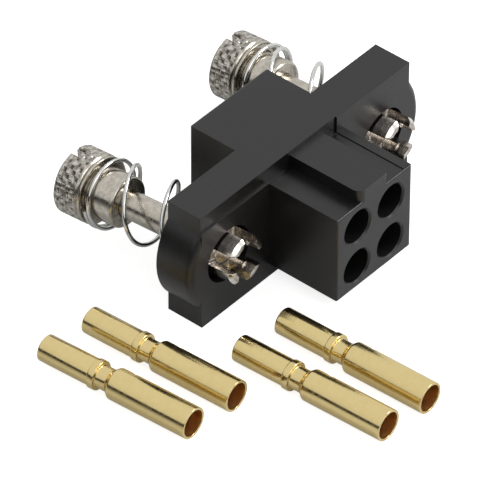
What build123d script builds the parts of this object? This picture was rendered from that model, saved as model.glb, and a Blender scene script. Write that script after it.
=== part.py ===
from build123d import *
import math
import os

os.makedirs("parts", exist_ok=True)

# Rectangular connector housing with two sprung captive turn screws, and its
# four loose crimp contacts lying beside it. Sizes in millimetres.
# +Z is up, the mating face looks along -Y, and the flange's long side is X.
# The origin is the centre of the flange's underside, which stands on the table.

# Flange plate
flange_length = 31.5
flange_height = 13.9
flange_thickness = 4.35
ear_projection = 1.75
ear_height = 9.5
ear_edge_round = 0.8

# Wiring block behind the flange, flush with it above and below
wiring_block_width = 11.5
wiring_block_depth = 5.85
block_edge_round = 0.3

# Mating block in front of the flange
mating_block_width = 11.3
mating_block_depth = 8.65
mating_block_lift = 1.5
mating_block_height = 10.45
mating_edge_round = 0.2

# Polarising key on top of the mating block
key_width = 4.7
key_height = 1.45
key_corner_radius = 0.9

# Shallow relief left by the mould insert on the left and over the key side
relief_depth = 0.2
relief_right_edge = 4.55
relief_flange_gap = 0.1

# Contact cavities, a two by two grid through the whole housing
cavity_pitch = 5.08
cavity_diameter = 3.76
cavity_mouth_chamfer = 0.2
cavity_row_offset = -0.05

# Retention clip in a groove part way down each cavity
clip_length = 3.9
clip_wall = 0.15
clip_groove_depth = 0.4
clip_setback = 6.2
clip_tine_bore = 2.9
clip_tine_length = 2.0
clip_slit = 0.5
clip_play = 0.02

# Turn screws
screw_spacing = 23.5
shaft_diameter = 2.95
screw_hole_play = 0.15
screw_rest_gap = 0.05
counterbore_depth = 1.8
counterbore_play = 0.5
press_gap = 0.01

# Knurled knob on each screw
knob_rear_height = 15.65
knob_length = 3.3
knob_diameter = 7.25
knob_bevel = 0.45
knurl_count = 21
knurl_rows = 2
knurl_depth = 0.25
hub_diameter = 5.4
hub_length = 3.7
hub_chamfer = 0.2
slot_width = 1.2
slot_depth = 1.3
knob_bore_margin = 1.0

# Thrust washer under the knob
washer_thickness = 0.3
washer_ring_width = 0.9
washer_play = 0.05
seat_gap = 0.02

# Return spring between the washer and the flange
wire_diameter = 0.45
spring_play = 0.55
closed_turns = 1.25
open_turns = 1.75
closed_turn_gap = 0.45
# How far the loose front end has crept up the flange, and where each wire starts in degrees
spring_rise = 1.3
spring_start_left = 95
spring_start_right = 5

# Castellated latch crown on the front of each shaft
crown_diameter = 5.2
crown_reach = 2.4
crown_slots = 4
crown_slot_width = 1.8
crown_slot_depth = 2.9
crown_slot_corner = 0.4
crown_edge = 0.35
crown_mouth_diameter = 3.5
crown_mouth_depth = 1.2
crown_turn = 20

# Crimp contacts
contact_length = 18.1
barrel_diameter = 3.35
barrel_bore = 2.84
barrel_length = 9.9
barrel_bore_depth = 8.5
barrel_shoulder = 0.35
barrel_mouth_edge = 0.08
inspection_hole = 0.9
inspection_hole_setback = 8.0
inspection_hole_angle = 48
neck_diameter = 2.4
neck_length = 1.3
collar_diameter = 3.12
collar_length = 0.8
hood_diameter = 2.84
hood_wall = 0.2
hood_lip_bore = 2.0
hood_lip_length = 0.35
socket_play = 0.01
socket_bore = 1.62
socket_bore_depth = 4.6
socket_slit = 0.35
socket_recess = 1.0

# Where each loose contact's barrel mouth lies on the table, and its turn in degrees
contact_1_x = -28.16
contact_1_y = -11.78
contact_1_yaw = 3.3
contact_2_x = -22.52
contact_2_y = -12.40
contact_2_yaw = 2.6
contact_3_x = -16.22
contact_3_y = -26.15
contact_3_yaw = 2.3
contact_4_x = -10.60
contact_4_y = -26.72
contact_4_yaw = 1.8

# Sizes that follow from the ones above
flange_front = -flange_thickness / 2
flange_rear = flange_thickness / 2
housing_rear = flange_rear + wiring_block_depth
mating_front = flange_front - mating_block_depth
mating_floor = mating_block_lift + mating_block_height
key_top = mating_floor + key_height
cavity_middle = mating_block_lift + mating_block_height / 2 + cavity_row_offset
clip_front = mating_front + clip_setback
groove_diameter = cavity_diameter + 2 * clip_groove_depth

shaft_radius = shaft_diameter / 2
hole_diameter = shaft_diameter + 2 * screw_hole_play
hole_front = flange_front + counterbore_depth
hole_length = flange_rear - hole_front
hole_middle = (hole_front + flange_rear) / 2
# Each loose screw hangs in its hole until it almost touches both ends of it
droop = math.atan(2 * (screw_hole_play - screw_rest_gap) / hole_length)


def beside_flange(radius):
    """How far a disc of this radius keeps its middle off a wall it leans at."""
    return radius * math.tan(droop) + seat_gap


# Stations along a screw, measured to the rear from the middle of its hole
crown_rear = -hole_length / 2 - beside_flange(crown_diameter / 2)
crown_front = -(hole_middle - flange_front) - crown_reach
knob_front = hole_length / 2 + knob_rear_height - knob_length
knob_rear = knob_front + knob_length
hub_front = knob_front - hub_length
knob_bore_end = knob_front + knob_bore_margin
washer_rear = knob_front - seat_gap
washer_front = washer_rear - washer_thickness
washer_radius = hub_diameter / 2 + washer_ring_width
spring_inner_diameter = hub_diameter + 2 * spring_play
spring_mean_radius = (spring_inner_diameter + wire_diameter) / 2
spring_front = hole_length / 2 + beside_flange(spring_mean_radius + wire_diameter / 2)
spring_rear = washer_front - seat_gap
screw_travel = hub_front - hole_length / 2 - beside_flange(hub_diameter / 2) - wire_diameter / 2


def screw_place(side):
    """Plane of one screw: Z runs to the rear along its drooping axis."""
    rearward = (0, math.cos(droop), -math.sin(droop))
    middle = (side * screw_spacing / 2, hole_middle, flange_height / 2)
    return Plane(origin=middle, x_dir=(1, 0, 0), z_dir=rearward).location


def contact_place(mouth_x, mouth_y, turn):
    """Plane of one lying contact: Z runs from its mouth to its mating end."""
    yaw = math.radians(turn)
    mouth = (mouth_x, mouth_y, barrel_diameter / 2)
    return Plane(origin=mouth, x_dir=(0, 0, 1), z_dir=(-math.sin(yaw), math.cos(yaw), 0)).location


def turned(points):
    """Revolve a closed outline of (radius, station) points about Z."""
    outline = [Vector(radius, 0, station) for radius, station in points]
    face = Face(Wire.make_polygon(outline, close=True))
    return Solid.revolve(face, 360, Axis.Z)


def block(x0, x1, y0, y1, z0, z1):
    return Pos(x0, y0, z0) * Box(x1 - x0, y1 - y0, z1 - z0, align=(Align.MIN, Align.MIN, Align.MIN))


def along_y(diameter, y0, y1, x, z):
    """A cylinder along Y from y0 to y1."""
    rod = Cylinder(diameter / 2, y1 - y0, align=(Align.CENTER, Align.CENTER, Align.MIN))
    return Pos(x, y0, z) * Rot(-90, 0, 0) * rod


def flange_plate():
    half = flange_length / 2
    ear_low = (flange_height - ear_height) / 2
    ear_high = flange_height - ear_low
    tip = half + ear_projection
    with BuildPart() as plate:
        with BuildSketch(Plane.XZ.offset(-flange_rear)):
            with BuildLine():
                Line((-half, 0), (half, 0))
                Line((half, 0), (half, ear_low))
                ThreePointArc((half, ear_low), (tip, flange_height / 2), (half, ear_high))
                Line((half, ear_high), (half, flange_height))
                Line((half, flange_height), (-half, flange_height))
                Line((-half, flange_height), (-half, ear_high))
                ThreePointArc((-half, ear_high), (-tip, flange_height / 2), (-half, ear_low))
                Line((-half, ear_low), (-half, 0))
            make_face()
        extrude(amount=flange_thickness)
        front_arcs = plate.edges().filter_by(GeomType.CIRCLE).group_by(Axis.Y)[0]
        fillet(front_arcs, min(ear_edge_round, ear_projection / 2))
    return plate.part


def mating_block():
    half = mating_block_width / 2
    body = block(-half, half, mating_front, flange_front, mating_block_lift, mating_floor)
    front_edges = body.edges().group_by(Axis.Y)[0]
    upright = body.edges().filter_by(Axis.Y)
    return fillet(front_edges + upright.group_by(Axis.Z)[0], mating_edge_round)


def key():
    half = key_width / 2
    rib = block(-half, half, mating_front, flange_front, mating_floor - mating_edge_round, key_top)
    front_corners = rib.edges().filter_by(Axis.Z).group_by(Axis.Y)[0]
    return fillet(front_corners, key_corner_radius)


def wiring_block():
    half = wiring_block_width / 2
    body = block(-half, half, flange_rear, housing_rear, 0, flange_height)
    rear_edges = body.edges().group_by(Axis.Y)[-1]
    return fillet(rear_edges, block_edge_round)


def relief():
    """Thin slab that the mould insert takes off the flange's upper front."""
    left = -flange_length / 2 - ear_projection
    return block(
        left, relief_right_edge,
        flange_front - relief_depth, flange_front + relief_depth,
        mating_floor + relief_flange_gap, flange_height + relief_depth,
    )


def cavity_centres():
    for row in (1, -1):
        for column in (-1, 1):
            yield column * cavity_pitch / 2, cavity_middle + row * cavity_pitch / 2


def cavity(x, z):
    """One through cavity with its clip groove and chamfered mouths."""
    bore = along_y(cavity_diameter, mating_front, housing_rear, x, z)
    groove = along_y(groove_diameter, clip_front, clip_front + clip_length + 2 * clip_play, x, z)
    wide = cavity_diameter / 2 + cavity_mouth_chamfer
    mouth = Cone(wide, cavity_diameter / 2, cavity_mouth_chamfer,
                 align=(Align.CENTER, Align.CENTER, Align.MIN))
    front_mouth = Pos(x, mating_front, z) * Rot(-90, 0, 0) * mouth
    rear_mouth = Pos(x, housing_rear, z) * Rot(90, 0, 0) * mouth
    return bore + groove + front_mouth + rear_mouth


def screw_hole(side):
    x, z = side * screw_spacing / 2, flange_height / 2
    clearance = along_y(hole_diameter, flange_front, flange_rear, x, z)
    counterbore = along_y(crown_diameter + 2 * counterbore_play, flange_front, hole_front, x, z)
    return clearance + counterbore


def housing():
    body = flange_plate() - relief()
    body = body + mating_block() + key() + wiring_block()
    raised_strip = block(
        relief_right_edge, mating_block_width / 2 - mating_edge_round,
        mating_front + mating_edge_round, flange_front,
        mating_floor - relief_depth, mating_floor + relief_flange_gap,
    )
    body = body + raised_strip
    for x, z in cavity_centres():
        body = body - cavity(x, z)
    for side in (-1, 1):
        body = body - screw_hole(side)
    return body


def retention_clip(x, z):
    """Split spring sleeve whose front ends in inward tines, so a contact passes from behind."""
    outer = groove_diameter / 2 - clip_play
    inner = outer - clip_wall
    tine = clip_tine_bore / 2
    sleeve = turned([
        (tine, 0), (tine + clip_wall, 0), (outer, clip_tine_length), (outer, clip_length),
        (inner, clip_length), (inner, clip_tine_length),
    ])
    seam = Box(outer * 2, clip_slit, clip_length * 2, align=(Align.MIN, Align.CENTER, Align.CENTER))
    sleeve = sleeve - seam
    for turn in (45, 135):
        gap = Box(outer * 4, clip_slit, clip_tine_length * 2)
        sleeve = sleeve - Rot(0, 0, turn) * gap
    return Pos(x, clip_front + clip_play, z) * Rot(-90, 0, 0) * sleeve


def knurl_ring(inner_radius):
    """Diamond knurl: crossing ridges with rows of small pits between them."""
    crest = knob_diameter / 2
    root = crest - knurl_depth
    columns = 2 * knurl_count
    rows = 2 * knurl_rows
    low = knob_front + knob_bevel
    step = (knob_length - 2 * knob_bevel) / rows

    def grid_point(column, row):
        column = column % columns
        on_rim = row in (0, rows)
        radius = crest if (column + row) % 2 == 0 and not on_rim else root
        angle = 2 * math.pi * column / columns
        return Vector(radius * math.cos(angle), radius * math.sin(angle), low + row * step)

    def facet(*corners):
        return Face(Wire.make_polygon(corners, close=True))

    faces = []
    for column in range(columns):
        for row in range(rows):
            a, b = grid_point(column, row), grid_point(column + 1, row)
            c, d = grid_point(column + 1, row + 1), grid_point(column, row + 1)
            if (column + row) % 2 == 0:
                faces += [facet(a, b, c), facet(a, c, d)]
            else:
                faces += [facet(a, b, d), facet(b, c, d)]
    for row, height in ((0, low), (rows, low + rows * step)):
        rim = [grid_point(column, row) for column in range(columns)]
        faces.append(Face(Wire.make_polygon(rim, close=True)))
    band = Solid(Shell(faces))
    core = Cylinder(inner_radius, knob_length * 2)
    return band - Pos(0, 0, knob_front + knob_length / 2) * core


def knob():
    """Knurled head with a screwdriver slot and a plain hub in front."""
    bore = shaft_radius + press_gap
    hub = hub_diameter / 2
    root = knob_diameter / 2 - knurl_depth
    face_radius = root - knob_bevel
    body = turned([
        (bore, hub_front), (hub - hub_chamfer, hub_front), (hub, hub_front + hub_chamfer),
        (hub, knob_front), (face_radius, knob_front),
        (root - knurl_depth, knob_front + knob_bevel), (root - knurl_depth, knob_rear - knob_bevel),
        (face_radius, knob_rear), (0, knob_rear), (0, knob_bore_end), (bore, knob_bore_end),
    ])
    collars = turned([
        (hub, knob_front), (face_radius, knob_front), (root, knob_front + knob_bevel),
        (hub, knob_front + knob_bevel),
    ])
    rear_collar = turned([
        (hub, knob_rear - knob_bevel), (root, knob_rear - knob_bevel), (face_radius, knob_rear),
        (hub, knob_rear),
    ])
    slot = Pos(0, 0, knob_rear) * Box(slot_width, knob_diameter * 2, 2 * slot_depth)
    return body + collars + rear_collar + knurl_ring(hub) - slot


def shaft():
    end = crown_front + crown_slot_depth
    edge = crown_edge / 2
    rear = knob_bore_end - press_gap
    return turned([
        (0, end), (shaft_radius - edge, end), (shaft_radius, end + edge),
        (shaft_radius, rear), (0, rear),
    ])


def thrust_washer():
    inner = hub_diameter / 2 + washer_play
    return turned([
        (inner, washer_front), (washer_radius, washer_front), (washer_radius, washer_rear),
        (inner, washer_rear),
    ])


def latch_crown():
    """Crown of prongs that turns behind the mating half's latch plate."""
    outer = crown_diameter / 2
    bore = shaft_radius + press_gap
    mouth = crown_mouth_diameter / 2
    body = turned([
        (bore, crown_rear), (outer, crown_rear), (outer, crown_front + crown_edge),
        (outer - crown_edge, crown_front), (mouth, crown_front),
        (mouth, crown_front + crown_mouth_depth), (bore, crown_front + crown_mouth_depth),
    ])
    cutter = Box(crown_diameter, crown_slot_width, 2 * crown_slot_depth,
                 align=(Align.MIN, Align.CENTER, Align.CENTER))
    floor_corners = cutter.edges().filter_by(Axis.X).group_by(Axis.Z)[-1]
    cutter = fillet(floor_corners, crown_slot_corner)
    for index in range(crown_slots):
        angle = crown_turn + index * 360 / crown_slots
        body = body - Pos(0, 0, crown_front) * Rot(0, 0, angle) * cutter
    return body


def return_spring(start):
    """Compression spring with closed turns at each end, its loose front end crept up."""
    lift = wire_diameter / 2
    closed_pitch = wire_diameter + closed_turn_gap
    closed_height = closed_turns * closed_pitch
    open_height = spring_rear - spring_front - 2 * lift - 2 * closed_height
    stages = [(closed_pitch, closed_height), (open_height / open_turns, open_height),
              (closed_pitch, closed_height)]
    wire_radius = wire_diameter / 2
    base = spring_front + lift
    angle = start
    pieces = []
    for pitch, height in stages:
        path = Rot(0, 0, angle) * Helix(pitch, height, spring_mean_radius)
        path = Pos(0, 0, base) * path
        section = Plane(path @ 0, z_dir=path % 0) * Circle(wire_radius)
        pieces.append(sweep(section, path=path, transition=Transition.RIGHT))
        pieces.append(Pos(*(path @ 1)) * Sphere(wire_radius))
        base += height
        angle += 360 * height / pitch
    pieces.pop()
    coil = pieces[0]
    for piece in pieces[1:]:
        coil = coil + piece
    lean = spring_rise / (spring_rear - spring_front)
    upward = Matrix([[1, 0, 0, 0], [0, 1, lean, -lean * spring_rear], [0, 0, 1, 0]])
    return coil.transform_geometry(upward)


def contact_body():
    """Turned crimp contact: wire barrel, neck, collar and slit socket."""
    barrel = barrel_diameter / 2
    bore = barrel_bore / 2
    neck = neck_diameter / 2
    neck_end = barrel_length + neck_length
    collar_end = neck_end + collar_length
    socket = hood_diameter / 2 - hood_wall - socket_play
    socket_end = contact_length - socket_recess
    pin = socket_bore / 2
    body = turned([
        (bore, 0), (barrel - barrel_mouth_edge, 0), (barrel, barrel_mouth_edge),
        (barrel, barrel_length - barrel_shoulder), (neck, barrel_length),
        (neck, neck_end), (collar_diameter / 2, neck_end), (collar_diameter / 2, collar_end),
        (socket, collar_end), (socket, socket_end), (pin, socket_end),
        (pin, socket_end - socket_bore_depth), (0, socket_end - socket_bore_depth),
        (0, barrel_bore_depth), (bore, barrel_bore_depth),
    ])
    slit_depth = socket_bore_depth - pin
    slit = Box(barrel_diameter, socket_slit, slit_depth, align=(Align.CENTER, Align.CENTER, Align.MAX))
    peephole = Cylinder(inspection_hole / 2, barrel_diameter, align=(Align.CENTER, Align.CENTER, Align.MIN))
    peephole = Rot(0, 0, inspection_hole_angle) * Rot(0, 90, 0) * peephole
    body = body - Pos(0, 0, socket_end) * slit
    return body - Pos(0, 0, inspection_hole_setback) * peephole


def contact_hood():
    """Sleeve over the socket tines, turned in at its mating end."""
    outer = hood_diameter / 2
    inner = outer - hood_wall
    lip = hood_lip_bore / 2
    start = barrel_length + neck_length + collar_length
    rounded = hood_wall / 2
    return turned([
        (inner, start), (outer, start), (outer, contact_length - rounded),
        (outer - rounded, contact_length), (lip, contact_length),
        (lip, contact_length - hood_lip_length), (inner, contact_length - hood_lip_length),
    ])


def save(shape, name):
    export_step(shape, f"parts/{name}.step")


save(housing(), "housing")

for number, (x, z) in enumerate(cavity_centres(), start=1):
    save(retention_clip(x, z), f"retention_clip_{number}")

contact_spots = [
    (contact_1_x, contact_1_y, contact_1_yaw),
    (contact_2_x, contact_2_y, contact_2_yaw),
    (contact_3_x, contact_3_y, contact_3_yaw),
    (contact_4_x, contact_4_y, contact_4_yaw),
]
for number, spot in enumerate(contact_spots, start=1):
    place = contact_place(*spot)
    save(contact_body().moved(place), f"crimp_contact_{number}")
    save(contact_hood().moved(place), f"contact_hood_{number}")

screw_pieces = {
    "knob": knob(),
    "screw_shaft": shaft(),
    "thrust_washer": thrust_washer(),
    "latch_crown": latch_crown(),
}
for side, word, start in ((-1, "left", spring_start_left), (1, "right", spring_start_right)):
    place = screw_place(side)
    save(return_spring(start).moved(place), f"return_spring_{word}")
    for name, shape in screw_pieces.items():
        save(shape.moved(place), f"{name}_{word}")

print("droop in degrees", round(math.degrees(droop), 3))
print("screw travel", round(screw_travel, 3))
print("screw axis", [0, round(-math.cos(droop), 6), round(math.sin(droop), 6)])
print("hole middle", round(hole_middle, 4), "height", flange_height / 2)
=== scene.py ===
import math

import bpy
from mathutils import Matrix, Vector


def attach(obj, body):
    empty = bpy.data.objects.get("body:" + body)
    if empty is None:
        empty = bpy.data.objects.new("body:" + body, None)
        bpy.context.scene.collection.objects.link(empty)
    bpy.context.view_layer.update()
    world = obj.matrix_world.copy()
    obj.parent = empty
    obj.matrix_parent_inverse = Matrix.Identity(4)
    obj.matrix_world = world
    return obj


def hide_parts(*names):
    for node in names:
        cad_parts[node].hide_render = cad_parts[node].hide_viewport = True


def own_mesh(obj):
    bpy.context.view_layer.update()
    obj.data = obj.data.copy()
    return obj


# Rectangular connector with two sprung turn screws and four loose crimp contacts.
# Pieces are shaped in millimetres and brought to metres when they are put in place.
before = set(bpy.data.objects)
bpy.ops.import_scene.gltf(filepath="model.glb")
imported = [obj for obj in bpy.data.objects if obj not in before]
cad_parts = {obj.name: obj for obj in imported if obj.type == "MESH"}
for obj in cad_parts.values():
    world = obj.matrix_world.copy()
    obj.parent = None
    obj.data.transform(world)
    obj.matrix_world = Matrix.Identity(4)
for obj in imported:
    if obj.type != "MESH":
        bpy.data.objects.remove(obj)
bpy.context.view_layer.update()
print("frame loaded:", len(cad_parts), "nodes")

mm = 0.001
near = 0.01  # mm, how close to a face a point counts as on it

# The camera stands where the photograph was taken from.

viewpoint = {
    "azimuth": -49.7045,
    "elevation": 40.9588,
    "roll": 0.2397,
    "aim": (-5.171, 1.975, 2.058),  # mm
    "distance": 710.34,  # mm
    "lens": 540.29,
}


def placeCamera(view):
    turn = (
        Matrix.Rotation(math.radians(view["azimuth"]), 4, "Z")
        @ Matrix.Rotation(math.radians(90 - view["elevation"]), 4, "X")
        @ Matrix.Rotation(math.radians(view["roll"]), 4, "Z")
    )
    bpy.ops.object.camera_add()
    camera = bpy.context.object
    camera.name = "photoCamera"
    camera.data.lens = view["lens"]
    camera.data.sensor_width = 36
    camera.data.clip_start = 0.01
    camera.data.clip_end = 20
    back = turn @ Vector((0, 0, view["distance"]))
    camera.matrix_world = Matrix.Translation((Vector(view["aim"]) + back) * mm) @ turn
    return camera


bpy.context.scene.camera = placeCamera(viewpoint)
bpy.context.scene.view_settings.view_transform = "Standard"
print("camera placed")

# A white paper floor in a pale room, with two soft lamps.

studio = {
    "floorSize": 3.0,  # m
    "floorColour": (0.7, 0.7, 0.7, 1),
    "floorGlow": 0.8,
    "floorGlowMirrored": 0.12,
    "worldDiffuse": 0.5,
    "skySteps": [(0.0, 0.03), (0.255, 0.03), (0.27, 0.855), (0.8, 0.95)],  # height and brightness
    "skyLift": 0.5,
    "floorMirrorShadeFrom": -0.030,  # m, where painted shade on the mirrored paper starts, towards the camera's side
    "floorMirrorShadeTo": -0.055,
    "floorMirrorShadeAmount": 0.9,
    "floorShade": (0.02, 0.018, 0.015, 1),
    "keyPlace": (0.30, -0.22, 0.36),
    "keySize": 0.22,
    "keyPower": 1.6,
    "fillPlace": (-0.10, -0.45, 0.40),
    "fillSize": 0.35,
    "fillPower": 0.6,
}


def mathNode(tree, operation, *values):
    # each value is a number or the socket it is linked from
    node = tree.nodes.new("ShaderNodeMath")
    node.operation = operation
    for socket, value in zip(node.inputs, values):
        if isinstance(value, (int, float)):
            socket.default_value = value
        else:
            tree.links.new(value, socket)
    return node.outputs[0]


def mapRange(tree, value, low, high, toLow=0.0, toHigh=1.0):
    node = tree.nodes.new("ShaderNodeMapRange")
    tree.links.new(value, node.inputs["Value"])
    for label, number in (("From Min", low), ("From Max", high), ("To Min", toLow), ("To Max", toHigh)):
        if isinstance(number, (int, float)):
            node.inputs[label].default_value = number
        else:
            tree.links.new(number, node.inputs[label])
    return node.outputs["Result"]


def areaLamp(name, place, size, power):
    bpy.ops.object.light_add(type="AREA", location=place)
    lamp = bpy.context.object
    lamp.name = name
    lamp.data.size = size
    lamp.data.energy = power
    lamp.rotation_euler = (-Vector(place)).to_track_quat("-Z", "Y").to_euler()  # aimed at the origin


def buildRoom(values):
    world = bpy.data.worlds.new("studio")
    bpy.context.scene.world = world
    world.use_nodes = True
    tree = world.node_tree
    nodes, links = tree.nodes, tree.links
    nodes.clear()
    output = nodes.new("ShaderNodeOutputWorld")
    path = nodes.new("ShaderNodeLightPath")
    place = nodes.new("ShaderNodeTexCoord")
    split = nodes.new("ShaderNodeSeparateXYZ")
    sky = nodes.new("ShaderNodeValToRGB")
    links.new(place.outputs["Generated"], split.inputs[0])
    # the dark band low in the room lies only on the camera's side, so it fades towards +X
    side = mathNode(tree, "MAXIMUM", split.outputs["X"], 0)
    raised = mathNode(tree, "MULTIPLY_ADD", side, values["skyLift"], split.outputs["Z"])
    links.new(raised, sky.inputs[0])
    ramp = sky.color_ramp
    while len(ramp.elements) < len(values["skySteps"]):
        ramp.elements.new(0.5)
    for stop, (position, level) in zip(ramp.elements, values["skySteps"]):
        stop.position = position
        stop.color = (level, level, level, 1)
    shown, mirrored, soft = [nodes.new("ShaderNodeBackground") for light in range(3)]
    shown.inputs["Color"].default_value = (1, 1, 1, 1)
    links.new(sky.outputs["Color"], mirrored.inputs["Color"])
    soft.inputs["Color"].default_value = (1, 1, 1, 1)
    soft.inputs["Strength"].default_value = values["worldDiffuse"]
    pickGloss, pickView = [nodes.new("ShaderNodeMixShader") for light in range(2)]
    seen = mathNode(tree, "MAXIMUM", path.outputs["Is Camera Ray"], path.outputs["Is Transmission Ray"])
    for source, target in (
        (path.outputs["Is Glossy Ray"], pickGloss.inputs["Fac"]),
        (soft.outputs[0], pickGloss.inputs[1]),
        (mirrored.outputs[0], pickGloss.inputs[2]),
        (seen, pickView.inputs["Fac"]),
        (pickGloss.outputs[0], pickView.inputs[1]),
        (shown.outputs[0], pickView.inputs[2]),
        (pickView.outputs[0], output.inputs["Surface"]),
    ):
        links.new(source, target)


def buildFloor(values):
    bpy.ops.mesh.primitive_plane_add(size=values["floorSize"], location=(0, 0, 0))
    floor = bpy.context.object
    floor.name = "floor"
    paper = bpy.data.materials.new("whitePaper")
    paper.use_nodes = True
    tree = paper.node_tree
    shader = tree.nodes["Principled BSDF"]
    shader.inputs["Roughness"].default_value = 0.7
    shader.inputs["Specular IOR Level"].default_value = 0.1
    shader.inputs["Emission Color"].default_value = (1, 1, 1, 1)
    light = tree.nodes.new("ShaderNodeLightPath")
    where = tree.nodes.new("ShaderNodeTexCoord")
    across = tree.nodes.new("ShaderNodeSeparateXYZ")
    tree.links.new(where.outputs["Object"], across.inputs[0])
    # painted shade: the paper that metal mirrors is darker on one side of the room
    shade = mapRange(tree, across.outputs["X"], values["floorMirrorShadeTo"], values["floorMirrorShadeFrom"],
                     values["floorMirrorShadeAmount"], 0)
    tint = tree.nodes.new("ShaderNodeMix")
    tint.data_type = "RGBA"
    tint.inputs["A"].default_value = values["floorColour"]
    tint.inputs["B"].default_value = values["floorShade"]
    mirrored = light.outputs["Is Glossy Ray"]
    tree.links.new(mathNode(tree, "MULTIPLY", shade, mirrored), tint.inputs["Factor"])
    tree.links.new(tint.outputs["Result"], shader.inputs["Base Color"])
    glows = [mathNode(tree, "MULTIPLY", ray, level) for ray, level in (
        (light.outputs["Is Camera Ray"], values["floorGlow"]), (mirrored, values["floorGlowMirrored"]))]
    tree.links.new(mathNode(tree, "ADD", *glows), shader.inputs["Emission Strength"])
    floor.data.materials.append(paper)


buildRoom(studio)
buildFloor(studio)
areaLamp("keyLamp", studio["keyPlace"], studio["keySize"], studio["keyPower"])
areaLamp("fillLamp", studio["fillPlace"], studio["fillSize"], studio["fillPower"])
print("studio built")

# Effects that several finishes share, and the finishes themselves.


def newGroup(name, inputs, outputs):
    group = bpy.data.node_groups.new(name, "ShaderNodeTree")
    for label, kind, value in inputs:
        socket = group.interface.new_socket(name=label, in_out="INPUT", socket_type=kind)
        if value is not None:
            socket.default_value = value
    for label, kind in outputs:
        group.interface.new_socket(name=label, in_out="OUTPUT", socket_type=kind)
    return group, group.nodes.new("NodeGroupInput"), group.nodes.new("NodeGroupOutput")


def noiseNode(group, vector, scale, detail, roughness):
    noise = group.nodes.new("ShaderNodeTexNoise")
    noise.inputs["Detail"].default_value = detail
    noise.inputs["Roughness"].default_value = roughness
    group.links.new(scale, noise.inputs["Scale"])
    group.links.new(vector, noise.inputs["Vector"])
    return noise.outputs["Fac"]


def makeGrainGroup():
    # fine mottling with a bump: moulded skin on plastic, plating on metal
    group, given, made = newGroup(
        "fineGrain",
        [("Vector", "NodeSocketVector", None), ("Scale", "NodeSocketFloat", 2000.0),
         ("Strength", "NodeSocketFloat", 0.2), ("Depth", "NodeSocketFloat", 0.00002)],
        [("Grain", "NodeSocketFloat"), ("Normal", "NodeSocketVector")],
    )
    noise = noiseNode(group, given.outputs["Vector"], given.outputs["Scale"], 5.0, 0.6)
    bump = group.nodes.new("ShaderNodeBump")
    group.links.new(given.outputs["Strength"], bump.inputs["Strength"])
    group.links.new(given.outputs["Depth"], bump.inputs["Distance"])
    group.links.new(noise, bump.inputs["Height"])
    group.links.new(noise, made.inputs["Grain"])
    group.links.new(bump.outputs["Normal"], made.inputs["Normal"])
    return group


def makeMarksGroup():
    # sparse specks: rubs where a surface was handled, and on the edge finishes partly painted glints
    group, given, made = newGroup(
        "specksAndGlints",
        [("Vector", "NodeSocketVector", None), ("Scale", "NodeSocketFloat", 900.0),
         ("Amount", "NodeSocketFloat", 0.4)],
        [("Marks", "NodeSocketFloat")],
    )
    broad = noiseNode(group, given.outputs["Vector"], given.outputs["Scale"], 6.0, 0.7)
    # more Amount lowers the level above which the noise shows as a mark
    spread = mathNode(group, "MULTIPLY", given.outputs["Amount"], 0.3)
    level = mathNode(group, "SUBTRACT", 0.78, spread)
    top = mathNode(group, "ADD", level, 0.06)
    marks = mapRange(group, broad, level, top)
    group.links.new(marks, made.inputs["Marks"])
    return group


def makeTurnedGroup():
    # fine rings left by the lathe, across the axis that Vector's Z follows
    group, given, made = newGroup(
        "latheRings",
        [("Vector", "NodeSocketVector", None), ("Scale", "NodeSocketFloat", 4000.0),
         ("Strength", "NodeSocketFloat", 0.15), ("Normal", "NodeSocketVector", None)],
        [("Rings", "NodeSocketFloat"), ("Normal", "NodeSocketVector")],
    )
    squeeze = group.nodes.new("ShaderNodeVectorMath")
    squeeze.operation = "MULTIPLY"
    squeeze.inputs[1].default_value = (0.04, 0.04, 1)
    group.links.new(given.outputs["Vector"], squeeze.inputs[0])
    noise = noiseNode(group, squeeze.outputs[0], given.outputs["Scale"], 3.0, 0.5)
    bump = group.nodes.new("ShaderNodeBump")
    bump.inputs["Distance"].default_value = 0.00002
    group.links.new(given.outputs["Strength"], bump.inputs["Strength"])
    group.links.new(noise, bump.inputs["Height"])
    group.links.new(given.outputs["Normal"], bump.inputs["Normal"])
    group.links.new(noise, made.inputs["Rings"])
    group.links.new(bump.outputs["Normal"], made.inputs["Normal"])
    return group


fineGrain = makeGrainGroup()
specksAndGlints = makeMarksGroup()
latheRings = makeTurnedGroup()


class Finish:
    # a Principled material with a few helpers for placing the shared groups

    def __init__(self, name, **sockets):
        self.material = bpy.data.materials.new(name)
        self.material.use_nodes = True
        self.tree = self.material.node_tree
        self.shader = self.tree.nodes["Principled BSDF"]
        for label, value in sockets.items():
            self.shader.inputs[label.replace("_", " ")].default_value = value
        self.where = self.tree.nodes.new("ShaderNodeTexCoord").outputs["Object"]

    def link(self, source, target):
        self.tree.links.new(source, target)

    def mapped(self, turn, move):
        mapping = self.tree.nodes.new("ShaderNodeMapping")
        mapping.vector_type = "TEXTURE"
        mapping.inputs["Location"].default_value = move
        mapping.inputs["Rotation"].default_value = turn
        self.link(self.where, mapping.inputs["Vector"])
        return mapping.outputs["Vector"]

    def group(self, group, vector=None, **values):
        node = self.tree.nodes.new("ShaderNodeGroup")
        node.node_tree = group
        self.link(vector or self.where, node.inputs["Vector"])
        for label, value in values.items():
            node.inputs[label].default_value = value
        return node

    def mix(self, factor, first, second):
        node = self.tree.nodes.new("ShaderNodeMix")
        node.data_type = "RGBA"
        self.link(factor, node.inputs["Factor"])
        for socket, value in ((node.inputs["A"], first), (node.inputs["B"], second)):
            if isinstance(value, tuple):
                socket.default_value = value
            else:
                self.link(value, socket)
        return node.outputs["Result"]

    def ranged(self, value, low, high, toLow=0.0, toHigh=1.0):
        return mapRange(self.tree, value, low, high, toLow, toHigh)


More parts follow.
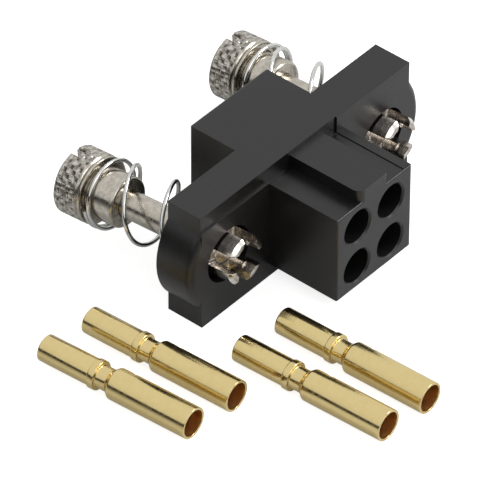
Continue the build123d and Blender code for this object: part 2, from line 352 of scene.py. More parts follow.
plasticLook = {
    "body": (0.0045, 0.0040, 0.0040, 1),
    "bodyPale": (0.0075, 0.0065, 0.0065, 1),
    # edge and edgeRubAndGlint: paler edge tones, partly rub wear and partly painted highlight along the edges
    "edge": (0.020, 0.019, 0.019, 1),
    "edgeRubAndGlint": (0.09, 0.085, 0.085, 1),
    # fleck: pale flash and chips, and painted highlight spots on the top edges
    "paleFleckAndGlint": (0.42, 0.41, 0.40, 1),
}


def mouldedPlastic(name, first, second, rubAndGlint, amount, roughness=(0.28, 0.40)):
    finish = Finish(name, Specular_IOR_Level=0.5)
    grain = finish.group(fineGrain, Scale=2600.0, Strength=0.25, Depth=0.00001)
    colour = finish.mix(finish.ranged(grain.outputs["Grain"], 0.35, 0.65), first, second)
    marks = finish.group(specksAndGlints, Scale=1400.0, Amount=amount)
    colour = finish.mix(marks.outputs["Marks"], colour, rubAndGlint)
    finish.link(colour, finish.shader.inputs["Base Color"])
    clouds = finish.group(fineGrain, Scale=180.0, Strength=0.0)
    shine = finish.ranged(clouds.outputs["Grain"], 0.3, 0.7, *roughness)
    finish.link(shine, finish.shader.inputs["Roughness"])
    finish.link(grain.outputs["Normal"], finish.shader.inputs["Normal"])
    return finish.material


housingSkin = mouldedPlastic("housingSkin", plasticLook["body"], plasticLook["bodyPale"],
                             rubAndGlint=plasticLook["edge"], amount=0.15)
# the edge finish: rub wear and painted highlight along the bevelled edges
housingEdgeWearAndGlint = mouldedPlastic("housingEdgeWearAndGlint", plasticLook["edge"], plasticLook["bodyPale"],
                             rubAndGlint=plasticLook["edgeRubAndGlint"], amount=0.9, roughness=(0.3, 0.45))
flashSkin = mouldedPlastic("flashSkin", plasticLook["edgeRubAndGlint"], plasticLook["paleFleckAndGlint"],
                           rubAndGlint=plasticLook["paleFleckAndGlint"], amount=1.3)
# pale spots on the top edges: painted highlight on the flange, chips on the mating block's edge
fleckAndGlintSkin = mouldedPlastic("fleckAndGlintSkin", plasticLook["edge"], plasticLook["bodyPale"],
                           rubAndGlint=plasticLook["paleFleckAndGlint"], amount=1.0)

metalLook = {
    "nickel": (0.56, 0.525, 0.465, 1),
    "nickelDull": (0.43, 0.395, 0.335, 1),
    "knurl": (0.62, 0.59, 0.54, 1),
    "knurlDull": (0.22, 0.20, 0.165, 1),
    # pit: painted shade for the bottoms of the knurl's pits
    "pit": (0.06, 0.05, 0.04, 1),
    # a light and a dark tone mottled together, the dark patches painted shade on the crowns and on the
    # shafts' front ends inside them
    "shadeMottle": (0.66, 0.62, 0.57, 1),
    "shadeMottleDeep": (0.36, 0.32, 0.28, 1),
    # edge: a pale colour painted as highlight on the crowns' front rims
    "edge": (0.92, 0.90, 0.86, 1),
    "spring": (0.70, 0.70, 0.68, 1),
    "springDull": (0.62, 0.62, 0.60, 1),
    "gold": (0.72, 0.58, 0.28, 1),
    "goldDeep": (0.70, 0.56, 0.26, 1),
    "bore": (0.60, 0.34, 0.12, 1),
    "boreDeep": (0.50, 0.27, 0.09, 1),
    "clip": (0.42, 0.32, 0.20, 1),
    "clipDull": (0.20, 0.16, 0.10, 1),
}


def turnedMetal(name, first, second, roughness=(0.16, 0.3), rings=0.12,
                turn=(0, 0, 0), move=(0, 0, 0)):
    finish = Finish(name, Metallic=1.0)
    place = finish.mapped(turn, move)
    grain = finish.group(fineGrain, place, Scale=1500.0, Strength=0.06, Depth=0.00002)
    lathe = finish.group(latheRings, place, Scale=9000.0, Strength=rings)
    finish.link(grain.outputs["Normal"], lathe.inputs["Normal"])
    blend = finish.ranged(grain.outputs["Grain"], 0.38, 0.62)
    finish.link(finish.mix(blend, first, second), finish.shader.inputs["Base Color"])
    shine = finish.ranged(lathe.outputs["Rings"], 0.3, 0.7, *roughness)
    finish.link(shine, finish.shader.inputs["Roughness"])
    finish.link(lathe.outputs["Normal"], finish.shader.inputs["Normal"])
    return finish.material


print("finishes made")

# Helpers that shape, cut and place a piece.


def startObject(add, name, **options):
    bpy.ops.object.select_all(action="DESELECT")
    add(**options)
    piece = bpy.context.object
    piece.name = name
    piece.data.name = name
    return piece


def pickOnly(piece):
    bpy.ops.object.select_all(action="DESELECT")
    piece.select_set(True)
    bpy.context.view_layer.objects.active = piece


def softCorners(points, radius, steps=3):
    # each inner corner of an outline becomes a short curve
    soft = [Vector(points[0])]
    for before, corner, after in zip(points, points[1:], points[2:]):
        a, b, c = Vector(before), Vector(corner), Vector(after)
        reach = min(radius, (a - b).length * 0.45, (c - b).length * 0.45)
        enter, leave = b + (a - b).normalized() * reach, b + (c - b).normalized() * reach
        for i in range(steps + 1):
            t = i / steps
            soft.append(enter.lerp(b, t).lerp(b.lerp(leave, t), t))
    soft.append(Vector(points[-1]))
    return [(p.x, p.y) for p in soft]


def turnOnLathe(name, outline, steps):
    # outline: (radius, station) points, drawn by extruding one vertex, then spun about Z
    piece = startObject(bpy.ops.mesh.primitive_plane_add, name, size=0.01, location=(0, 0, 0))
    bpy.ops.object.mode_set(mode="EDIT")
    bpy.ops.mesh.select_mode(type="VERT")
    bpy.ops.mesh.select_all(action="SELECT")
    bpy.ops.mesh.merge(type="CENTER")
    bpy.ops.transform.translate(value=(outline[0][0], 0, outline[0][1]))
    for (r0, z0), (r1, z1) in zip(outline, outline[1:]):
        bpy.ops.mesh.extrude_region_move(TRANSFORM_OT_translate={"value": (r1 - r0, 0, z1 - z0)})
    bpy.ops.mesh.select_all(action="SELECT")
    bpy.ops.mesh.spin(steps=steps, angle=math.tau, center=(0, 0, 0), axis=(0, 0, 1))
    tidyMesh()
    bpy.ops.object.mode_set(mode="OBJECT")
    return piece


def tidyMesh(distance=0.0004):
    bpy.ops.mesh.select_all(action="SELECT")
    bpy.ops.mesh.remove_doubles(threshold=distance)
    bpy.ops.mesh.normals_make_consistent(inside=False)


def cube(name, x, y, z):
    middle = [(low + high) / 2 for low, high in (x, y, z)]
    size = [high - low for low, high in (x, y, z)]
    piece = startObject(bpy.ops.mesh.primitive_cube_add, name, size=1, location=middle, scale=size)
    bpy.ops.object.transform_apply(location=True, rotation=True, scale=True)
    return piece


def bevelWhere(piece, test, width, segments):
    # bevels the edges whose middle and direction pass the test
    pickOnly(piece)
    mesh = piece.data
    bpy.ops.object.mode_set(mode="EDIT")
    bpy.ops.mesh.select_mode(type="EDGE")
    bpy.ops.mesh.select_all(action="DESELECT")
    bpy.ops.object.mode_set(mode="OBJECT")
    for edge in mesh.edges:
        a, b = (mesh.vertices[i].co for i in edge.vertices)
        edge.select = test((a + b) / 2, b - a)
    bpy.ops.object.mode_set(mode="EDIT")
    bpy.ops.mesh.bevel(offset=width, segments=segments, affect="EDGES")
    bpy.ops.object.mode_set(mode="OBJECT")


def boolean(piece, tool, operation):
    pickOnly(piece)
    modifier = piece.modifiers.new(operation.lower(), "BOOLEAN")
    modifier.operation = operation
    modifier.solver = "EXACT"
    modifier.object = tool
    bpy.ops.object.modifier_apply(modifier=modifier.name)
    bpy.data.objects.remove(tool)


def breakEdges(piece, width, segments, angle, edgeSlot):
    pickOnly(piece)
    modifier = piece.modifiers.new("edges", "BEVEL")
    modifier.width = width
    modifier.segments = segments
    modifier.limit_method = "ANGLE"
    modifier.angle_limit = math.radians(angle)
    modifier.material = edgeSlot
    bpy.ops.object.modifier_apply(modifier=modifier.name)


def settle(piece, smooth, place=Matrix.Identity(4)):
    # brings a piece from its own millimetre frame to its place in metres
    pickOnly(piece)
    piece.matrix_world = Matrix.Scale(mm, 4) @ place
    bpy.ops.object.transform_apply(location=True, rotation=True, scale=True)
    bpy.ops.object.shade_smooth_by_angle(angle=math.radians(smooth))


def copyPiece(piece, name):
    pickOnly(piece)
    bpy.ops.object.duplicate(linked=False)
    twin = bpy.context.object
    twin.name = name
    twin.data.name = name
    return twin


def hand(piece, node, body, slot, *materials):
    # gives a finished piece to the frame in place of its node
    for index, material in enumerate(materials):
        if index < len(piece.data.materials):
            piece.data.materials[index] = material
        else:
            piece.data.materials.append(material)
    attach(piece, body)
    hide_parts(node)


# Housing: flange with ears, mating block with its key, wiring block.

housingSize = {
    "flange": {"length": 31.5, "thickness": 4.35, "height": 13.9},
    "ear": {"reach": 1.75, "height": 9.5, "frontRound": 0.8},
    "wiringBlock": {"width": 11.5, "depth": 5.85, "round": 0.3},
    "matingBlock": {"width": 11.3, "depth": 8.65, "low": 1.5, "high": 11.95, "round": 0.2},
    "key": {"width": 4.7, "top": 13.4, "round": 0.9},
    "relief": {"depth": 0.2, "right": 4.55, "low": 12.05},
    "cavity": {"pitch": 5.08, "middle": 6.675, "radius": 1.88, "groove": 2.28, "grooveStart": 6.2,
               "grooveEnd": 10.14, "mouth": 0.2},
    "screwHole": {"spacing": 23.5, "height": 6.95, "radius": 1.625, "recess": 3.1, "recessDepth": 1.8},
    "edge": 0.07,
    "overlap": 0.5,  # how deep one block reaches into the next before they are joined
}


def laidAlongY(piece, x, z, y):
    # a piece turned about Z is laid along Y with its start at y
    pickOnly(piece)
    piece.matrix_world = Matrix.Translation((x, y, z)) @ Matrix.Rotation(-math.pi / 2, 4, "X")
    bpy.ops.object.transform_apply(location=True, rotation=True, scale=True)


def buildEar(side, size):
    flange, ear = size["flange"], size["ear"]
    tip = flange["length"] / 2 + ear["reach"]
    radius = (ear["height"] ** 2 / 4 + ear["reach"] ** 2) / (2 * ear["reach"])
    low = (flange["height"] - ear["height"]) / 2
    piece = startObject(bpy.ops.mesh.primitive_cylinder_add, "ear", vertices=192, radius=radius,
                        depth=flange["thickness"], location=(side * (tip - radius), 0, flange["height"] / 2),
                        rotation=(math.pi / 2, 0, 0))
    bpy.ops.object.transform_apply(location=True, rotation=True, scale=True)
    bpy.ops.object.mode_set(mode="EDIT")
    # trim the disc to the ear's height and to what stands out of the flange
    for point, normal in (((0, 0, low), (0, 0, -1)), ((0, 0, low + ear["height"]), (0, 0, 1)),
                          ((side * (flange["length"] / 2 - 1), 0, 0), (-side, 0, 0))):
        bpy.ops.mesh.select_all(action="SELECT")
        bpy.ops.mesh.bisect(plane_co=point, plane_no=normal, use_fill=True, clear_outer=True)
    tidyMesh()
    bpy.ops.object.mode_set(mode="OBJECT")
    front = -flange["thickness"] / 2
    reach = flange["length"] / 2

    def onFrontArc(middle, run):
        onFront = abs(middle.y - front) < near
        return onFront and abs(middle.x) > reach - 2 * near and abs(run.z) > 0.001

    bevelWhere(piece, onFrontArc, ear["frontRound"], 5)
    return piece


def buildHousing(size):
    flange, mating, key, relief = size["flange"], size["matingBlock"], size["key"], size["relief"]
    wiring, cavity, hole = size["wiringBlock"], size["cavity"], size["screwHole"]
    half, front, rear = flange["length"] / 2, -flange["thickness"] / 2, flange["thickness"] / 2
    matingFront = front - mating["depth"]
    wiringRear = rear + wiring["depth"]
    overlap = size["overlap"]
    body = cube("housingShell", (-half, half), (front, rear), (0, flange["height"]))
    for side in (-1, 1):
        boolean(body, buildEar(side, size), "UNION")
    boolean(body, cube("reliefCut", (-half - 3, relief["right"]), (front - 1, front + relief["depth"]),
                       (relief["low"], flange["height"] + 1)), "DIFFERENCE")

    wide = mating["width"] / 2
    block = cube("matingBlock", (-wide, wide), (matingFront, front + overlap),
                 (mating["low"], mating["high"]))
    bevelWhere(block, lambda middle, run: abs(middle.y - matingFront) < near
               or (abs(run.y) > 1 and middle.z < mating["low"] + near), mating["round"], 3)
    boolean(body, block, "UNION")

    wide = key["width"] / 2
    rib = cube("key", (-wide, wide), (matingFront, front + overlap),
               (mating["high"] - overlap, key["top"]))
    bevelWhere(rib, lambda middle, run: abs(middle.y - matingFront) < near and abs(run.z) > 1,
               key["round"], 8)
    boolean(body, rib, "UNION")

    strip = cube("raisedStrip", (relief["right"], mating["width"] / 2 - mating["round"]),
                 (matingFront + mating["round"], front + overlap),
                 (mating["high"] - overlap, relief["low"]))
    boolean(body, strip, "UNION")

    wide = wiring["width"] / 2
    back = cube("wiringBlock", (-wide, wide), (rear - overlap, wiringRear), (0, flange["height"]))
    bevelWhere(back, lambda middle, run: abs(middle.y - wiringRear) < near, wiring["round"], 3)
    boolean(body, back, "UNION")

    r, mouth, groove = cavity["radius"], cavity["mouth"], cavity["groove"]
    through = wiringRear - matingFront
    bore = [(0, -1), (r + mouth, -1), (r + mouth, 0), (r, mouth), (r, cavity["grooveStart"]),
            (groove, cavity["grooveStart"]), (groove, cavity["grooveEnd"]), (r, cavity["grooveEnd"]),
            (r, through - mouth), (r + mouth, through), (r + mouth, through + 1), (0, through + 1)]
    for row in (1, -1):
        for column in (-1, 1):
            cutter = turnOnLathe("cavityCut", bore, 64)
            x, z = column * cavity["pitch"] / 2, cavity["middle"] + row * cavity["pitch"] / 2
            laidAlongY(cutter, x, z, matingFront)
            boolean(body, cutter, "DIFFERENCE")
    recess, deep = hole["recess"], hole["recessDepth"]
    step = [(0, -1), (recess, -1), (recess, deep), (hole["radius"], deep),
            (hole["radius"], flange["thickness"] + 1), (0, flange["thickness"] + 1)]
    for side in (-1, 1):
        cutter = turnOnLathe("screwHoleCut", step, 72)
        laidAlongY(cutter, side * hole["spacing"] / 2, hole["height"], front)
        boolean(body, cutter, "DIFFERENCE")

    body.data.materials.clear()
    for finish in (housingSkin, housingEdgeWearAndGlint, flashSkin, fleckAndGlintSkin):
        body.data.materials.append(finish)
    # the bevel faces take the edge finish, partly wear and partly painted highlight
    breakEdges(body, size["edge"], 2, 38, 1)
    # pale mould flash along the relief's lower edge, and on the upper edges near it pale spots: painted
    # highlight on the flange's top edges, chipped flecks on the mating block's top left edge
    zone = size["edge"] * 1.3
    for face in body.data.polygons:
        x, y, z = face.center
        if face.material_index != 1:
            continue
        if abs(z - relief["low"]) < zone and abs(y - front) < zone and x < -wide:
            face.material_index = 2
        onTop = abs(z - flange["height"]) < zone and y < wiringRear - 1
        onBlock = abs(z - mating["high"]) < zone and abs(x + mating["width"] / 2) < zone
        if onTop and abs(y - rear) > zone or onBlock:
            face.material_index = 3
    settle(body, 38)
    # the flat faces keep their own normals beside the broken edges
    modifier = body.modifiers.new("flatFaces", "WEIGHTED_NORMAL")
    modifier.keep_sharp = True
    modifier.weight = 80
    bpy.ops.object.modifier_apply(modifier=modifier.name)
    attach(body, "housing")
    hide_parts("housing")


buildHousing(housingSize)
print("housing done")

# Turn screws: knob, shaft, washer, spring and crown on each side.

screwSize = {
    "hole": {"spacing": 23.5, "y": 0.9, "height": 6.95, "droop": 4.485},  # its middle, and degrees
    "travel": 8.0,  # how far each screw slides
    "knob": {"front": 13.625, "rear": 16.925, "radius": 3.625, "bevel": 0.2, "columns": 168, "rows": 20,
             "pit": 0.25, "hubFront": 9.925, "hub": 2.7, "chamfer": 0.2, "slotWidth": 1.2,
             "slotDepth": 1.3, "soft": 0.1, "rearSoft": 0.14},
    # shaft stations below shadeEnd take the painted-shade finish
    "shaft": {"radius": 1.475, "front": -2.575, "shadeEnd": 0, "rear": 14.6, "chamfer": 0.15, "soft": 0.06},
    "washer": {"front": 13.305, "rear": 13.605, "inner": 2.75, "outer": 3.6, "soft": 0.09},
    "crown": {"front": -5.475, "rear": -1.4989, "outer": 2.6, "edge": 0.35, "mouth": 1.75,
              "mouthDepth": 1.2, "bore": 1.48, "slots": 4, "slotWidth": 1.8, "slotDepth": 2.9,
              "slotCorner": 0.4, "turn": 18, "round": 0.17},
    # each row of a spring: turn in degrees, station, side lean, sag
    "spring": {
        "front": 1.585, "rear": 13.285, "wire": 0.45, "radius": 3.55, "shift": 0.45, "nod": 0.2,
        "left": [(145, 2.41, .17, -.45), (505, 3.3, .25, -.42), (630, 4.6, .3, -.3), (810, 7.0, .32, -.1),
                 (900, 8.7, .34, 0), (990, 9.75, .3, .05), (1080, 11.2, .2, .1), (1170, 12.1, .05, .2),
                 (1260, 12.45, 0, .3), (1620, 12.95, 0, .35)],
        "right": [(6, 2.41, .17, -.1), (366, 3.0, .25, -.05), (540, 4.7, .35, .05), (630, 6.0, .35, .12),
                  (720, 6.9, .35, .15), (810, 7.9, .35, .2), (900, 9.6, .3, .3), (990, 11.2, .25, .35),
                  (1080, 11.9, .1, .35), (1170, 12.3, 0, .35), (1260, 12.45, 0, .35), (1620, 12.95, 0, .35)],
    },
}


def screwPlace(side, size):
    hole = size["hole"]
    tilt = Matrix.Rotation(-math.radians(90 + hole["droop"]), 4, "X")
    return Matrix.Translation((side * hole["spacing"] / 2, hole["y"], hole["height"])) @ tilt


def screwTurn(size):
    return (-math.radians(90 + size["hole"]["droop"]), 0, 0)


def screwMove(side, size):
    hole = size["hole"]
    return (side * hole["spacing"] / 2 * mm, hole["y"] * mm, hole["height"] * mm)


def knurledNickel(name, side, size):
    # painted shade darkens the knurl's pits, found by distance from the screw's axis
    finish = Finish(name, Metallic=1.0)
    place = finish.mapped(screwTurn(size), screwMove(side, size))
    flat = finish.tree.nodes.new("ShaderNodeVectorMath")
    flat.operation = "MULTIPLY"
    flat.inputs[1].default_value = (1, 1, 0)
    length = finish.tree.nodes.new("ShaderNodeVectorMath")
    length.operation = "LENGTH"
    finish.link(place, flat.inputs[0])
    finish.link(flat.outputs[0], length.inputs[0])
    knob = size["knob"]
    crest = knob["radius"] * mm
    along = finish.tree.nodes.new("ShaderNodeSeparateXYZ")
    finish.link(place, along.inputs[0])
    radius, station = length.outputs["Value"], along.outputs["Z"]
    pit = knob["pit"] * mm
    depth = finish.ranged(radius, crest - pit, crest - pit * 0.25)
    onBand = finish.ranged(station, (knob["front"] + 0.2) * mm, (knob["front"] + 0.4) * mm)
    offRim = finish.ranged(station, (knob["rear"] - 0.25) * mm, (knob["rear"] - 0.45) * mm)
    wall = finish.ranged(radius, crest - 0.45 * mm, crest - 0.35 * mm)
    pitShadeMask = mathNode(finish.tree, "SUBTRACT", 1, depth)
    for part in (onBand, offRim, wall):
        pitShadeMask = mathNode(finish.tree, "MULTIPLY", pitShadeMask, part)
    grain = finish.group(fineGrain, place, Scale=1900.0, Depth=0.00005)
    finish.link(finish.ranged(onBand, 0, 1, 0.03, 0.5), grain.inputs["Strength"])
    blend = finish.ranged(grain.outputs["Grain"], 0.38, 0.62)
    hub = finish.mix(blend, metalLook["nickel"], metalLook["nickelDull"])
    base = finish.mix(onBand, hub, finish.mix(blend, metalLook["knurl"], metalLook["knurlDull"]))
    # the pits take the painted shade colour
    finish.link(finish.mix(pitShadeMask, base, metalLook["pit"]), finish.shader.inputs["Base Color"])
    shine = finish.ranged(grain.outputs["Grain"], 0.3, 0.7, 0.14, 0.3)
    finish.link(shine, finish.shader.inputs["Roughness"])
    finish.link(grain.outputs["Normal"], finish.shader.inputs["Normal"])
    return finish.material


def buildKnob(size):
    knob, shaft = size["knob"], size["shaft"]
    crest = knob["radius"]
    root = crest - knob["pit"]
    low, high = knob["front"] + knob["bevel"], knob["rear"] - knob["bevel"]
    rows = knob["rows"]
    stations = [low + (high - low) * row / rows for row in range(rows + 1)]
    bore, hub, hubFront, chamfer = shaft["radius"], knob["hub"], knob["hubFront"], knob["chamfer"]
    face = root - knob["bevel"]
    frontPart = softCorners([
        (bore, hubFront + 0.3), (bore, hubFront), (hub - chamfer, hubFront), (hub, hubFront + chamfer),
        (hub, knob["front"] - 0.01), (hub + 0.2, knob["front"]), (face, knob["front"]), (root, low)],
        knob["soft"])
    rearPart = softCorners([(root, high), (face, knob["rear"]), (0, knob["rear"])], knob["rearSoft"])
    outline = frontPart + [(crest, z) for z in stations[1:-1]] + rearPart
    piece = turnOnLathe("knob", outline, knob["columns"])
    mesh = piece.data
    step = (high - low) / rows

    # the knurling tool has pushed a round pit into every eighth column, staggered from row to row
    for reach, share in ((0, 1), (1, 0.6)):
        bpy.ops.object.mode_set(mode="EDIT")
        bpy.ops.mesh.select_mode(type="VERT")
        bpy.ops.mesh.select_all(action="DESELECT")
        bpy.ops.object.mode_set(mode="OBJECT")
        for vertex in mesh.vertices:
            x, y, z = vertex.co
            row = round((z - low) / step)
            column = round(math.atan2(y, x) / math.tau * knob["columns"]) % knob["columns"]
            rowOff = (row + 2) % 4 - 2
            columnOff = (column + row - rowOff) % 8 - 4
            onBand = math.hypot(x, y) > crest - near and 1 < row < rows - 1
            vertex.select = onBand and max(abs(rowOff), abs(columnOff)) == reach
        bpy.ops.object.mode_set(mode="EDIT")
        ratio = (crest - knob["pit"] * share) / crest
        bpy.ops.transform.resize(value=(ratio, ratio, 1), center_override=(0, 0, 0))
        bpy.ops.object.mode_set(mode="OBJECT")
    for face in mesh.polygons:
        inside = low - near < face.center.z < high + near
        face.select = inside and math.hypot(face.center.x, face.center.y) > root - 0.05
    bpy.ops.object.mode_set(mode="EDIT")
    bpy.ops.mesh.select_mode(type="FACE")
    bpy.ops.mesh.quads_convert_to_tris(quad_method="LONGEST_DIAGONAL")
    bpy.ops.object.mode_set(mode="OBJECT")
    half = knob["slotWidth"] / 2
    slot = cube("slotCut", (-half, half), (-6, 6), (knob["rear"] - knob["slotDepth"], knob["rear"] + 1))
    boolean(piece, slot, "DIFFERENCE")
    return piece


def buildCrown(size):
    crown = size["crown"]
    outer, mouth, front, rear = crown["outer"], crown["mouth"], crown["front"], crown["rear"]
    piece = turnOnLathe("crown", [
        (crown["bore"], rear), (outer, rear), (outer, front + crown["edge"]),
        (outer - crown["edge"], front), (mouth, front), (mouth, front + crown["mouthDepth"]),
        (crown["bore"], front + crown["mouthDepth"]), (crown["bore"], rear)], 72)
    half = crown["slotWidth"] / 2
    for index in range(crown["slots"]):
        floor = front + crown["slotDepth"]
        cutter = cube("slotCut", (0.4, 5), (-half, half), (front - 1, floor))
        bevelWhere(cutter, lambda middle, run: abs(middle.z - floor) < near and abs(run.x) > 1,
                   crown["slotCorner"], 4)
        angle = math.radians(crown["turn"] + index * 360 / crown["slots"])
        cutter.matrix_world = Matrix.Rotation(angle, 4, "Z")
        boolean(piece, cutter, "DIFFERENCE")
    for finish in range(2):
        piece.data.materials.append(None)
    breakEdges(piece, crown["round"], 4, 35, 1)
    # the front rim faces take the second finish, a painted highlight
    for face in piece.data.polygons:
        if face.center.z < front + crown["edge"] and -0.95 < face.normal.z < -0.3:
            face.material_index = 1
    return piece


def buildWasher(size):
    washer = size["washer"]
    front, rear, inner, outer = washer["front"], washer["rear"], washer["inner"], washer["outer"]
    middle = (inner + outer) / 2
    outline = softCorners([(middle, front), (outer, front), (outer, rear), (inner, rear), (inner, front),
                           (middle, front)], washer["soft"])
    return turnOnLathe("washer", outline, 96)


def buildShaft(size):
    shaft = size["shaft"]
    r = shaft["radius"]
    front, rear, chamfer = shaft["front"], shaft["rear"], shaft["chamfer"]
    outline = softCorners([(0, front), (r - chamfer, front), (r, front + chamfer), (r, shaft["shadeEnd"]),
                           (r, rear), (0, rear)], shaft["soft"])
    piece = turnOnLathe("shaft", outline, 72)
    # the shaft's front end, inside the crown, takes the painted-shade finish
    for face in piece.data.polygons:
        face.material_index = 1 if face.center.z < shaft["shadeEnd"] else 0
    return piece


def buildSpring(size, word):
    # the spring hangs loose on its hub, and its wire runs from row to row
    spring = size["spring"]
    rows = spring[word]
    first, last = rows[0][0], rows[-1][0]
    stepsPerTurn = 40
    count = round((last - first) / 360 * stepsPerTurn)
    bpy.ops.object.select_all(action="DESELECT")
    bpy.ops.curve.primitive_nurbs_path_add()
    coil = bpy.context.object
    coil.name = "spring"
    spline = coil.data.splines[0]
    spline.points.add(count + 1 - len(spline.points))
    for i, point in enumerate(spline.points):
        degrees = first + (last - first) * i / count
        after = next(n for n in range(1, len(rows)) if degrees <= rows[n][0] + 0.001)
        before, behind = rows[after - 1], rows[after]
        share = (degrees - before[0]) / (behind[0] - before[0])
        station, lean, sag = [low + (high - low) * share for low, high in zip(before[1:], behind[1:])]
        across = spring["radius"] * math.cos(math.radians(degrees))
        down = spring["radius"] * math.sin(math.radians(degrees))
        station += lean * across - spring["nod"] * max(rows[0][2] - lean, 0) * down
        point.co = (across + spring["shift"], down + sag, station, 1)
    spline.order_u = 3
    spline.use_endpoint_u = True
    spline.resolution_u = 2
    coil.data.bevel_depth = spring["wire"] / 2
    coil.data.bevel_resolution = 3
    coil.data.use_fill_caps = True
    bpy.ops.object.convert(target="MESH")
    return bpy.context.object


def buildScrews(size):
    parts = {
        "knob": (buildKnob(size), "screw", 62),
        "screw_shaft": (buildShaft(size), "screw", 40),
        "latch_crown": (buildCrown(size), "screw", 40),
        "thrust_washer": (buildWasher(size), "plunger", 40),
    }
    for side, word in ((-1, "left"), (1, "right")):
        parts["return_spring"] = (buildSpring(size, word), "housing", 60)
        turn, move = screwTurn(size), screwMove(side, size)
        look, spot = metalLook, {"turn": turn, "move": move}
        nickel = turnedMetal("nickel_" + word, look["nickel"], look["nickelDull"], **spot)
        wire = turnedMetal("springWire_" + word, look["spring"], look["springDull"], (0.1, 0.2), 0.02, **spot)
        knurled = knurledNickel("knurledNickel_" + word, side, size)
        # the painted-shade finish for the crowns and the shafts' front ends
        shadedNickel = turnedMetal("shadedNickel_" + word, look["shadeMottle"], look["shadeMottleDeep"], **spot)
        # painted highlight for the crowns' front rims
        edge = turnedMetal("rimHighlightNickel_" + word, look["edge"], look["nickel"], (0.1, 0.2), **spot)
        finishes = {"knob": [knurled], "return_spring": [wire], "latch_crown": [shadedNickel, edge],
                    "screw_shaft": [nickel, shadedNickel]}
        for node, (model, body, smooth) in parts.items():
            piece = copyPiece(model, node + "_shown_" + word)
            settle(piece, smooth, screwPlace(side, size))
            rides = body if body == "housing" else body + "_" + word
            slot = "spring_steel" if node == "return_spring" else "nickel"
            hand(piece, node + "_" + word, rides, slot, *finishes.get(node, [nickel]))
            if node == "return_spring":
                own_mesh(piece)
        bpy.data.objects.remove(parts.pop("return_spring")[0])
    for part in parts.values():
        bpy.data.objects.remove(part[0])


buildScrews(screwSize)
print("turn screws done")

# Crimp contacts, four of them loose on the table, each with its hood.

contactSize = {
    "length": 18.1,
    "soft": 0.12,
    "barrel": {"radius": 1.675, "bore": 1.42, "boreDepth": 8.5, "end": 9.9, "shoulder": 0.5, "soft": 0.1},
    "neck": {"radius": 1.2, "end": 11.2},
    "collar": {"radius": 1.56, "end": 12.0},
    "hood": {"radius": 1.42, "wall": 0.2, "lip": 1.0, "lipLength": 0.35, "play": 0.01, "soft": 0.16},
    "socket": {"bore": 0.81, "end": 17.1, "depth": 4.6},
    "hole": {"radius": 0.45, "station": 8.0, "angle": 48},
    "spots": [(-28.16, -11.78, 3.3), (-22.52, -12.40, 2.6), (-16.22, -26.15, 2.3), (-10.60, -26.72, 1.8)],
}


def contactPlace(spot, size):
    x, y, yaw = spot
    a = math.radians(yaw)
    columns = Matrix(((0, math.cos(a), -math.sin(a)), (0, math.sin(a), math.cos(a)), (1, 0, 0)))
    return Matrix.Translation((x, y, size["barrel"]["radius"])) @ columns.to_4x4()


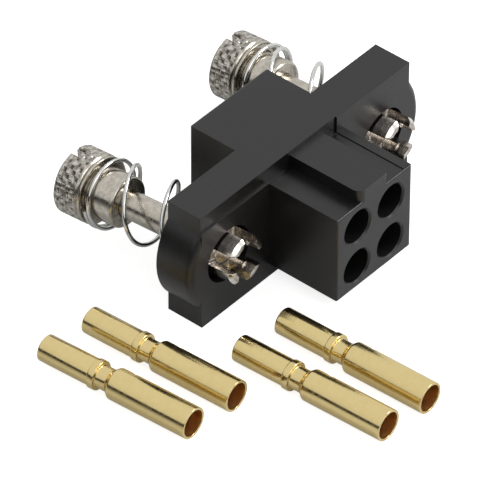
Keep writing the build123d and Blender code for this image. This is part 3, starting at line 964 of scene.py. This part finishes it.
def buildContact(size):
    barrel, neck, collar, socket = size["barrel"], size["neck"], size["collar"], size["socket"]
    hood = size["hood"]
    tine = hood["radius"] - hood["wall"] - hood["play"]
    middle = (barrel["bore"] + barrel["radius"]) / 2
    socketFloor = socket["end"] - socket["depth"]
    outline = softCorners([
        (middle, 0), (barrel["radius"], 0), (barrel["radius"], barrel["end"] - barrel["shoulder"]),
        (neck["radius"] + 0.06, barrel["end"]), (neck["radius"], barrel["end"] + 0.08),
        (neck["radius"], neck["end"]), (collar["radius"], neck["end"]), (collar["radius"], collar["end"]),
        (tine, collar["end"]), (tine, socket["end"]), (socket["bore"], socket["end"]),
        (socket["bore"], socketFloor), (0, socketFloor)], size["soft"])
    inner = softCorners([(0, barrel["boreDepth"]), (barrel["bore"], barrel["boreDepth"]),
                         (barrel["bore"], 0), (middle, 0)], barrel["soft"])
    piece = turnOnLathe("contact", outline, 96)
    lining = turnOnLathe("lining", inner, 96)
    pickOnly(piece)
    lining.select_set(True)
    bpy.ops.object.join()
    bpy.ops.object.mode_set(mode="EDIT")
    tidyMesh(0.002)
    bpy.ops.object.mode_set(mode="OBJECT")
    hole = size["hole"]
    a = math.radians(hole["angle"])
    drill = startObject(bpy.ops.mesh.primitive_cylinder_add, "drill", vertices=40, radius=hole["radius"],
                        depth=2, location=(math.cos(a) * 1.6, math.sin(a) * 1.6, hole["station"]),
                        rotation=(0, math.pi / 2, a))
    boolean(piece, drill, "DIFFERENCE")
    for face in piece.data.polygons:
        x, y, z = face.center
        inBore = math.hypot(x, y) < barrel["bore"] + 0.03
        face.material_index = int(0.3 < z < barrel["boreDepth"] + 0.1 and inBore)
    return piece


def buildHood(size):
    hood, start, end = size["hood"], size["collar"]["end"], size["length"]
    r, inner, lipStart = hood["radius"], hood["radius"] - hood["wall"], end - hood["lipLength"]
    middle = r - hood["wall"] / 2
    outline = softCorners([(middle, start), (r, start), (r, end), (hood["lip"], end), (hood["lip"], lipStart),
                           (inner, lipStart), (inner, start), (middle, start)], hood["soft"])
    return turnOnLathe("hood", outline, 96)


def goldFinish(name, spot, size, bright, deep, roughness):
    x, y, yaw = spot
    turn = (-math.pi / 2, 0, math.radians(yaw))
    move = (x * mm, y * mm, size["barrel"]["radius"] * mm)
    return turnedMetal(name, bright, deep, roughness, 0.3, turn, move)


def buildContacts(size):
    contact, hood = buildContact(size), buildHood(size)
    for number, spot in enumerate(size["spots"], start=1):
        # pale plating outside; the barrel's bore shows warm, thinner plating
        look = metalLook
        gold = goldFinish("gold_%d" % number, spot, size, look["gold"], look["goldDeep"], (0.12, 0.24))
        lining = goldFinish("goldBore_%d" % number, spot, size, look["bore"], look["boreDeep"], (0.3, 0.45))
        for model, node in ((contact, "crimp_contact"), (hood, "contact_hood")):
            piece = copyPiece(model, "%s_shown_%d" % (node, number))
            settle(piece, 35, contactPlace(spot, size))
            finishes = (gold, lining) if model is contact else (gold,)
            hand(piece, "%s_%d" % (node, number), "housing", "contact_gold", *finishes)
    bpy.data.objects.remove(contact)
    bpy.data.objects.remove(hood)


buildContacts(contactSize)
print("contacts done")

# Retention clips stay as the CAD made them and only get a finish.

clipBronze = turnedMetal("clipBronze", metalLook["clip"], metalLook["clipDull"], (0.25, 0.45), 0.05)
for number in range(1, 5):
    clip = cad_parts["retention_clip_%d" % number]
    clip.data.materials.clear()
    clip.data.materials.append(clipBronze)
print("clips done")
